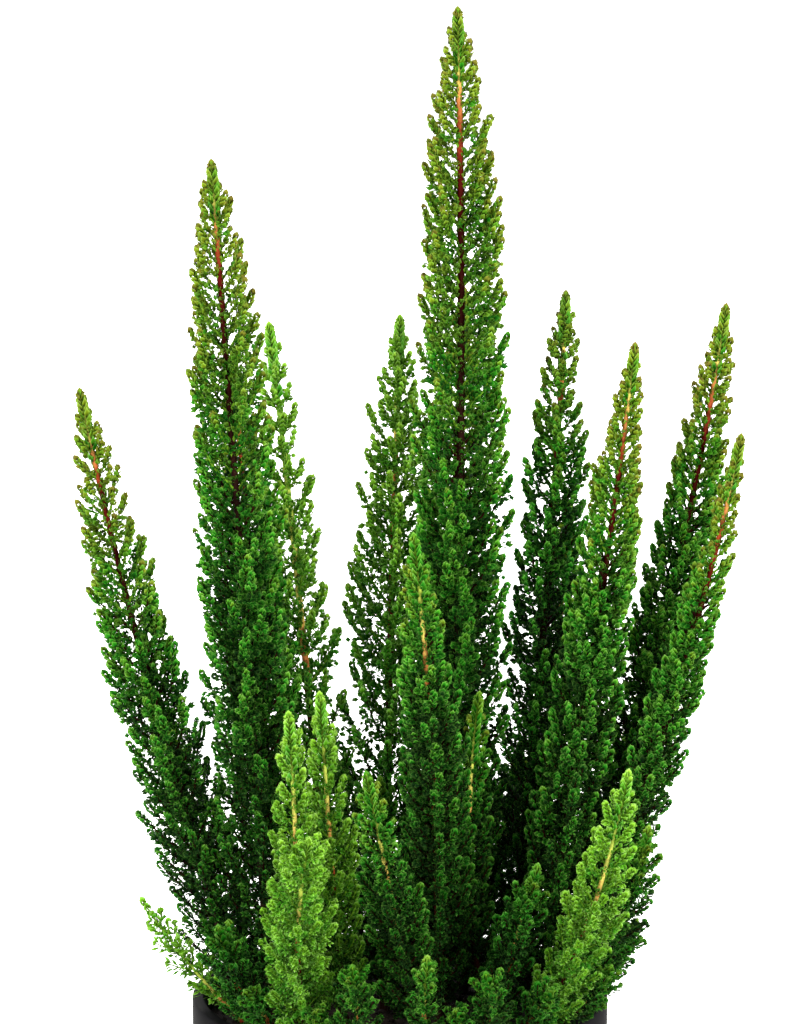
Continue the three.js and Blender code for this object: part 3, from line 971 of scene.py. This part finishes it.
# %% Dress the main shoot
BARE_FOOT = 6  # above the soil, nothing grows on a stem
CROWN = 14  # the closely leaved end of the main shoot
CROWN_PAST_TWIG = 1.3  # or, on a short stem, a multiple of where its first twig is
CROWN_FADE = 12
LOOSE_CROWN = 1
STEM_SHOOT_SPACING = 2.6
FIRST_LOBE = 4.5  # the highest short shoots on a stem
LOOSE_FIRST_LOBE = 8
SHOOT_ROWS = (-QUARTER - 1.05, -QUARTER + 1.05, QUARTER - 0.5, QUARTER + 0.5)
CROSSING = 0.6  # of the short shoots on the stem, the part before the bark where it stops showing


def leaves_on_stem(growth, rng, line, fresh_at, is_loose):
    crown = LOOSE_CROWN if is_loose else min(CROWN, line.first_twig * CROWN_PAST_TWIG)
    places = np.arange(2.6, line.leafy_length - BARE_FOOT, CLUB_STEP)
    kept = np.clip(1 - (places - crown) / CROWN_FADE, 0, 1)
    places = places[rng.random(len(places)) < kept]
    for shape, part in ((YOUNG_LEAF, places < CROWN / 3), (LEAF, places >= CROWN / 3)):
        at = places[part]
        sizes = np.minimum(1.7, 1.35 + at / 16) * (0.7 if is_loose else 1)
        spread = np.minimum(1.2, 0.95 + at / 30)
        youth = fresh_at(at) * (1 - 0.4 * at / CROWN)
        stations = (line.at(at), *line.frame(at))
        scale_leaves(growth, rng, stations, shape, sizes, spread, youth, np.zeros(len(at)))


def end_of_stem(growth, rng, line, fresh_at):
    frames = stand_round(*line.frame(np.zeros(1)), np.zeros(1))
    values = (fresh_at(np.zeros(1)), rng.random(1), np.zeros(1))
    growth.copy(END, line.at(np.array([2.2])), frames, np.full((1, 3), 1.4), *values)


def shoots_on_stem(growth, rng, line, fresh_at, bark_shows, is_loose):
    first = LOOSE_FIRST_LOBE if is_loose else FIRST_LOBE
    nodes = np.arange(first, line.leafy_length - BARE_FOOT, STEM_SHOOT_SPACING)
    places = np.repeat(nodes, len(SHOOT_ROWS))
    angles = np.tile(SHOOT_ROWS, len(nodes))
    count = len(places)
    crossing = CROSSING * (places / max(bark_shows, 1)) ** 3
    crossing = (places > bark_shows) | (rng.random(count) < crossing)
    angles = np.where(crossing & (angles < 0), -QUARTER, angles)
    angles = angles + rng.normal(0, SHOOT_SWAY, count)
    places = places + rng.uniform(-0.9, 0.9, count)
    points = line.at(places)
    is_open = rng.random(count) < shade(points[:, 2]) * OPEN_SHOOTS
    pairs = np.minimum(rng.integers(1, 4, count), 1 + (places - FIRST_LOBE).astype(int) // 4)
    leans = rng.normal(0.5, 0.12, count) + is_open * 0.45
    sizes = rng.uniform(0.8, 1.05, count) * (1.3 if is_loose else 1)
    looks = (sizes, fresh_at(places) * 0.75, rng.random(count), inner_depth(line.reach(places)))
    stations = (points, *line.frame(places))
    short_shoots(growth, stations, angles, leans, pairs, is_open, *looks)


# %% [markdown]
# ## The side twigs of a stem
#
# Twigs grow at nodes. At each one, two opposite twigs stand between the quarters, so that the bark
# shows between their rows, and a little further down one more stands at the side. Where the bark no
# longer shows, others stand before it and behind. Nodes are 4 mm apart or more, with a factor for
# stems that are thinner or denser than usual. Each twig is drawn in until it has room.

# %% Find the side twigs
NODE_SPACING = 4.0
NODE_GROWTH = 0.008  # of the spacing, for each millimetre below the tip
SPACING = {  # a multiple of the distance between nodes
    "left_back": 1.9, "tallest_back": 1.5, "centre_small": 1.5, "right": 1.3,
    "tallest": 0.92, "far_right_pale": 0.85, "far_right": 0.78, "right_pale": 0.7,
}
FIRST_SIDE_TWIG = 45
OPEN_FRONT = math.radians(56)  # half the angle between the two front rows
ROW_SWAY = 0.2
OVERHANG = 1.0  # how far the leaves stand out past a twig's end
TWIG_RISE = 1.6  # a twig's climb, as a multiple of how far it stands out
TWIG_SIZES = (1, 0.88, 0.76, 0.64, 0.52, 0.4, 0.28)  # tried one after the other
TWIG_MARGIN = 0.6
SHORTEST_TWIG = 0.8


def twig_angles(node, distance, is_open):
    """The directions of a node's twigs, measured from +X towards +Y."""
    side = 1 if node % 2 else -1
    angles = [-QUARTER + side * OPEN_FRONT, QUARTER + side * OPEN_FRONT]
    if distance > FIRST_SIDE_TWIG:
        angles.append(math.pi if node % 2 else 0)
    if not is_open:
        angles.append(-QUARTER + side * 0.15)
        if node % 2:
            angles.append(QUARTER)
    return angles


def places_of_twigs(rng, line, bark_shows, is_loose, spacing):
    """The distances of all twigs from the tip, and their directions."""
    distance, node = line.first_twig, 0
    places = []
    while distance < line.leafy_length - BARE_FOOT:
        angles = twig_angles(node, distance, is_loose or distance < bark_shows)
        for angle in angles[:2] if is_loose else angles:
            place = distance + rng.uniform(-0.6, 0.6)
            places.append((place, angle + rng.normal(0, ROW_SWAY)))
        distance += (NODE_SPACING + NODE_GROWTH * distance) * spacing
        node += 1
    return np.array(places).T


def side_twigs(rng, name, index):
    """The side twigs of a stem, each with its distance from the tip and the stem's radius."""
    line, bark_shows = LINES[name], STEMS[name][-1]
    is_loose, spacing = name in LOOSE, SPACING.get(name, 1)
    roots, directions = places_of_twigs(rng, line, bark_shows, is_loose, spacing)
    origins = line.at(roots)
    across, beside, along = line.frame(roots)
    outward = around(across, beside, directions)
    core = line.radius(roots)
    full = line.reach(roots) * rng.uniform(0.84, 1.1, len(roots)) - core - OVERHANG
    out = np.zeros(len(roots))
    for size in TWIG_SIZES:
        reach_out = np.maximum(0, full * size)
        rise = np.minimum(reach_out * TWIG_RISE, roots)
        room = np.ones(len(roots), bool)
        for share in (0.5, 1):
            outwards = outward * (core + reach_out * share)[:, None]
            upwards = along * (rise * share)[:, None]
            room &= has_room(index, origins + outwards + upwards, TWIG_MARGIN)
        out = np.where((out == 0) & room, reach_out, out)
    for i in np.flatnonzero(out > SHORTEST_TWIG):
        rise = min(out[i] * TWIG_RISE, roots[i])
        sway = rng.normal(0, 0.12)
        yield Twig(origins[i], outward[i], along[i], core[i], out[i], rise, sway), roots[i], core[i]


# %% [markdown]
# ## One leafy stem
#
# Now everything comes together: a tube of bark, the dressed main shoot, and the side twigs, each
# with its own thin tube. A stem's age decides its colours. Lime stems stay young nearly down to the
# soil. On the others, leaves turn old as fast as the bark does, and short stems are younger ones.

# %% Grow one leafy stem
STEM_SEED = 500
BARK_STEP = 5  # between the rings of a stem's tube
STEM_SIDES = 8
TWIG_SIDES = 3
TWIG_RADIUS = 0.5
TWIG_END_RADIUS = 0.2
LOOSE_THINNESS = 0.65
RIPE_LENGTH = {"lime": 300, "green": 150, "dark": 150}  # where the bark has turned to brown wood
RIPENING = {  # a multiple of that length
    "tallest": 1.15, "left": 0.85, "far_left": 0.85, "left_back": 2.5,
}
LOOSE_RIPENESS = 0.3
OLD_TWIG_RIPENESS = 0.6
YOUNG_STEM = 180  # stems shorter than this are younger, with bark that ripens more slowly
YOUNG_STEM_RIPENING = 1.7
YOUNG_STEM_FRESHNESS = 0.6  # and their tips are plain green, not olive
LIME_FRESH_LENGTH = 130  # where the leaves of a lime stem are half way to old ones
FRESH_SHARE = 0.25  # the same on the others, as a share of the whole stem
FRESH_BARK_SHARE = 0.82  # and of the length over which the bark shows


def ages(name):
    """Where a stem's bark is ripe, where its leaves are half old, and how young its tip is."""
    *_, tone, bark_shows = STEMS[name]
    length = LINES[name].leafy_length
    ripe_length = RIPE_LENGTH[tone] * RIPENING.get(name, 1)
    if tone == "lime":
        return ripe_length, LIME_FRESH_LENGTH, 1
    half_way = max(FRESH_SHARE * length, FRESH_BARK_SHARE * bark_shows)
    if length < YOUNG_STEM:
        return ripe_length * YOUNG_STEM_RIPENING, half_way, YOUNG_STEM_FRESHNESS
    return ripe_length, half_way, 1


def bark_of_stem(growth, line, ripe_length, is_loose):
    rings = np.arange(0.5, line.leafy_length, BARK_STEP)
    places = np.append(rings, [line.leafy_length, line.length])
    ripeness = np.maximum(places / ripe_length, (places / line.leafy_length) ** 2.5)
    ripeness *= LOOSE_RIPENESS if is_loose else 1
    radii = line.radius(places) * (LOOSE_THINNESS if is_loose else 1)
    across, beside, _ = line.frame(places)
    points = line.at(places)
    growth.tube(points, radii, STEM_SIDES, np.minimum(1, ripeness), (across, beside))


def bark_of_twig(growth, twig, core, ripeness):
    points, out, beside, _ = twig.stations(np.linspace(0, twig.length - 0.5, 3))
    radii = np.linspace(min(TWIG_RADIUS, core * 0.6), TWIG_END_RADIUS, len(points))
    growth.tube(points, radii, TWIG_SIDES, np.full(len(points), ripeness), (out, beside))


def grow_stem(name, index):
    """One whole leafy stem. Gives the number of its triangles."""
    *_, tone, bark_shows = STEMS[name]
    line, is_loose = LINES[name], name in LOOSE
    ripe_length, half_way, freshest = ages(name)
    rng = np.random.default_rng(STEM_SEED + index)
    growth = Growth()

    def fresh_at(distance):
        return freshest * freshness(distance, half_way)

    bark_of_stem(growth, line, ripe_length, is_loose)
    leaves_on_stem(growth, rng, line, fresh_at, is_loose)
    end_of_stem(growth, rng, line, fresh_at)
    shoots_on_stem(growth, rng, line, fresh_at, bark_shows, is_loose)
    for twig, root, core in side_twigs(rng, name, index):
        fresh = fresh_at(root)
        is_green = is_loose or fresh > 0.5
        bark_of_twig(growth, twig, core, 0 if is_green else OLD_TWIG_RIPENESS)
        grow_twig(growth, rng, twig, fresh, is_loose)
    piece = growth.make(f"heather_{name}", [FOLIAGE[tone], BARK])
    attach(piece, "root")
    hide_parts(f"leafy_stem_{name}")
    return len(piece.data.polygons)


# %% Grow them all
counts = {name: grow_stem(name, i) for i, name in enumerate(STEMS)}
print("triangles in the foliage:", sum(counts.values()), "largest piece:", max(counts.values()))

# %% [markdown]
# ## Pot
#
# A nursery pot is thin moulded plastic: a tapered wall, a wider band round the rim and holes in the
# floor. Its outline is turned about the middle axis, which gives it the roundness of its mould, and
# the holes are cut with drills. Small steps at the edges catch the light as moulded edges do.

# %% Make the pot
POT_SIDES = 128
DRILL_SIDES = 32
DRILL_BELOW = 2  # how far the drills reach under the pot
DRILL_ABOVE = 5  # and up into it
SHARP_EDGE = math.radians(32)


def plastic():
    desk = Desk("black nursery plastic")
    grain = desk.noise(2600, 2, 0.5)
    scuff = desk.noise(60, 5, 0.65)
    # the pot is really black plastic, darkened further as painted shade under the foliage; the dust
    # is real
    clean, dusty = (0.003, 0.003, 0.0035), (0.009, 0.0085, 0.008)
    return desk.finish({
        "Base Color": desk.mix((scuff - 0.45) * 1.2, clean, dusty),
        "Roughness": 0.5 + scuff * 0.25,
        "Normal": desk.bump(grain, 0.25, 0.0001),
        "Specular IOR Level": 0.015,
    })


def turned(name, profile, sides):
    """A closed solid of revolution from (radius, height) points in millimetres."""
    mesh = bmesh.new()
    angles = [2 * math.pi * i / sides for i in range(sides)]
    rings = []
    for radius, height in profile:
        ring = [(radius * math.cos(a), radius * math.sin(a), height) for a in angles]
        points = ring if radius else [(0, 0, height)]
        rings.append([mesh.verts.new([axis * MM for axis in point]) for point in points])
    for low, high in zip(rings, rings[1:]):
        for i in range(sides):
            j = (i + 1) % sides
            ends = [(low, i), (low, j), (high, j), (high, i)]
            corners = dict.fromkeys(ring[k % len(ring)] for ring, k in ends)
            mesh.faces.new(list(corners))  # a triangle at the middle axis, where two are one
    data = bpy.data.meshes.new(name)
    bmesh.ops.recalc_face_normals(mesh, faces=mesh.faces)
    mesh.to_mesh(data)
    mesh.free()
    return put(name, data)


def drill_holes(pot):
    """Cuts the drain holes out of the pot's floor and takes the drills away."""
    profile = [(0, -DRILL_BELOW), (DRAIN_HOLE_RADIUS, -DRILL_BELOW)]
    profile += [(DRAIN_HOLE_RADIUS, DRILL_ABOVE), (0, DRILL_ABOVE)]
    drills = [turned(f"drill_{i}", profile, DRILL_SIDES) for i in range(DRAIN_HOLES)]
    for i, drill in enumerate(drills):
        angle = 2 * math.pi * (i + 0.5) / DRAIN_HOLES
        x, y = DRAIN_CIRCLE_RADIUS * math.cos(angle), DRAIN_CIRCLE_RADIUS * math.sin(angle)
        drill.location = (x * MM, y * MM, 0)
        cut = pot.modifiers.new(f"hole_{i}", "BOOLEAN")
        cut.operation = "DIFFERENCE"
        cut.object = drill
    depsgraph = bpy.context.evaluated_depsgraph_get()
    drilled = bpy.data.meshes.new_from_object(pot.evaluated_get(depsgraph))
    pot.modifiers.clear()
    pot.data = drilled
    for drill in drills:
        bpy.data.objects.remove(drill)


def make_pot():
    top, band, rim = POT_HEIGHT, POT_HEIGHT - RIM_BAND_HEIGHT, POT_RIM_RADIUS
    profile = [  # from the middle of the foot outwards, up, over the rim and down inside
        (0, 0), (POT_FOOT_RADIUS - 1, 0), (POT_FOOT_RADIUS - 0.3, 0.2), (POT_FOOT_RADIUS, 0.9),
        (POT_SHOULDER_RADIUS, band), (rim - 0.8, band + 0.8), (rim - 0.1, band + 1.4),
        (rim, band + 2.2), (rim, top - 1.2), (rim - 0.5, top - 0.3), (rim - 1.3, top),
        (MOUTH_RADIUS + 0.5, top), (MOUTH_RADIUS, top - 0.5),
        (wall_radius(POT_FLOOR) - POT_WALL, POT_FLOOR), (0, POT_FLOOR),
    ]
    pot = turned("pot_shell", profile, POT_SIDES)
    drill_holes(pot)
    pot.data.materials.clear()
    pot.data.materials.append(plastic())
    pot.data.shade_smooth()
    pot.data.set_sharp_from_angle(angle=SHARP_EDGE)
    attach(pot, "root")
    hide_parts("pot")
    print("pot:", len(pot.data.polygons), "faces")


make_pot()

# %% [markdown]
# ## Potting soil
#
# Peat settles into a low mound with a crumbly top. The mound is turned like the pot, waves and
# chance shake its top, and loose crumbs, each a dented little ball, cover it as they do after
# watering. Real crumbs cast small shadows, which a bump in the material alone would not.

# %% Make the soil
SOIL_SEED = 77
SOIL_RINGS = 33
SOIL_SIDES = 140
WAVES = 24
WAVE_HEIGHT = 2.2
CRUMBS = 520
CRUMB_SIZES = (0.4, 1.5)


def peat():
    desk = Desk("damp peat")
    coarse = desk.noise(350, 5, 0.7)
    fine = desk.noise(2500, 3, 0.6)
    # wet, damp and dry peat differ for real; all three are darkened further as painted shade in the
    # pot
    wet, damp, dry = (0.002, 0.0015, 0.001), (0.008, 0.005, 0.003), (0.022, 0.014, 0.008)
    colour = desk.ramp(coarse, [(0.3, wet), (0.6, damp), (0.8, dry)])
    return desk.finish({
        "Base Color": desk.mix((fine - 0.6) * 0.8, colour, (0.05, 0.033, 0.02)),
        "Roughness": 0.95 - fine * 0.2,
        "Normal": desk.bump(fine + coarse, 0.8, 0.0008),
        "Specular IOR Level": 0.1,
    })


def shake_top(rng, mesh, side):
    """Moves the points of the mound's top up and down, but not those at its edge."""
    waves = []
    for _ in range(WAVES):
        direction = rng.uniform(0.1, 0.9, 2) * rng.choice([-1, 1], 2)
        waves.append((*direction, rng.uniform(0, 6.3)))
    for vertex in mesh.vertices:
        x, y, z = vertex.co / MM
        if z > SOIL_EDGE_HEIGHT - 1:
            edge = 1 - (math.hypot(x, y) / side) ** 8
            lump = sum(math.sin(x * a + y * b + start) for a, b, start in waves) / WAVES
            vertex.co.z += (lump * WAVE_HEIGHT + rng.uniform(-0.35, 0.35)) * edge * MM


def scatter_crumbs(rng, parts, side):
    for _ in range(CRUMBS):
        angle, radius = rng.uniform(0, 2 * math.pi), side * 0.97 * math.sqrt(rng.random())
        x, y = radius * math.cos(angle), radius * math.sin(angle)
        size = rng.uniform(*CRUMB_SIZES) * MM
        crumb = bmesh.ops.create_icosphere(parts, subdivisions=1, radius=size)
        place = Vector((x, y, float(soil_height(x, y)) + 0.4)) * MM
        bulk = Vector(rng.uniform(0.6, 1.1, 3)).length
        for vertex in crumb["verts"]:
            vertex.co = vertex.co * rng.uniform(0.75, 1.15) * bulk / 1.5 + place


def make_soil():
    rng = np.random.default_rng(SOIL_SEED)
    side = wall_radius(SOIL_EDGE_HEIGHT) - POT_WALL - GAP
    low = POT_FLOOR + GAP
    radii = np.linspace(0, side, SOIL_RINGS + 1)[1:]
    profile = [(0, SOIL_MOUND_HEIGHT)] + [(r, float(soil_height(r, 0))) for r in radii]
    profile += [(wall_radius(low) - POT_WALL - GAP, low), (0, low)]
    soil = turned("peat_soil", profile, SOIL_SIDES)
    shake_top(rng, soil.data, side)
    parts = bmesh.new()
    parts.from_mesh(soil.data)
    scatter_crumbs(rng, parts, side)
    parts.to_mesh(soil.data)
    parts.free()
    soil.data.materials.append(peat())
    soil.data.shade_flat()
    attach(soil, "root")
    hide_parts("soil")
    print("soil:", len(soil.data.polygons), "faces")


make_soil()

# %% [markdown]
# ## Floor and light
#
# A plain pale floor and broad soft lights, as in a small studio: two window-like lights stand high
# at the right and left front, a weaker one behind parts the tips from the background, and a bright
# room fills the shadows. The floor glows a little, so that it ends in plain white and not in a
# horizon. The plain view transform keeps the greens as bright as they were mixed.

# %% Set the stage
FLOOR_GLOW = 0.65
ROOM_BRIGHTNESS = 0.65
LIGHTS = {  # where it hangs and how wide it is, in metres, its power in watts and its colour
    "right window": ((1.6, -1.6, 1.4), 1.2, 135, (1.0, 0.98, 0.94)),
    "left window": ((-1.7, -1.4, 1.4), 1.2, 125, (1.0, 0.99, 0.97)),
    "back": ((-0.6, 1.9, 1.5), 1.0, 60, (1.0, 0.99, 0.95)),
}


def make_floor():
    desk = Desk("pale studio floor")
    cloud = desk.noise(2, 2, 0.5)
    colour = desk.mix(cloud * 0.1, (0.95, 0.95, 0.95), (0.9, 0.9, 0.9))
    desk.finish({
        "Base Color": colour,
        "Roughness": 0.9,
        "Emission Color": colour,
        "Emission Strength": FLOOR_GLOW,
    })
    mesh = bmesh.new()
    bmesh.ops.create_grid(mesh, x_segments=1, y_segments=1, size=12)
    data = bpy.data.meshes.new("floor")
    mesh.to_mesh(data)
    mesh.free()
    floor = put("floor", data)
    floor.data.materials.append(desk.material)


def make_light(name, place, size, power, colour):
    data = bpy.data.lights.new(name, "AREA")
    data.shape = "DISK"
    data.size = size
    data.energy = power
    data.color = colour
    light = put(name, data)
    light.location = place
    light.rotation_euler = (AIM - Vector(place)).to_track_quat("-Z", "Y").to_euler()


make_floor()
for name, light in LIGHTS.items():
    make_light(name, *light)

world = bpy.data.worlds.new("bright room")
world.use_nodes = True
background = world.node_tree.nodes["Background"]
background.inputs["Color"].default_value = (1, 1, 1, 1)
background.inputs["Strength"].default_value = ROOM_BRIGHTNESS
scene.world = world
scene.view_settings.view_transform = "Standard"
print("lights:", ", ".join(LIGHTS))
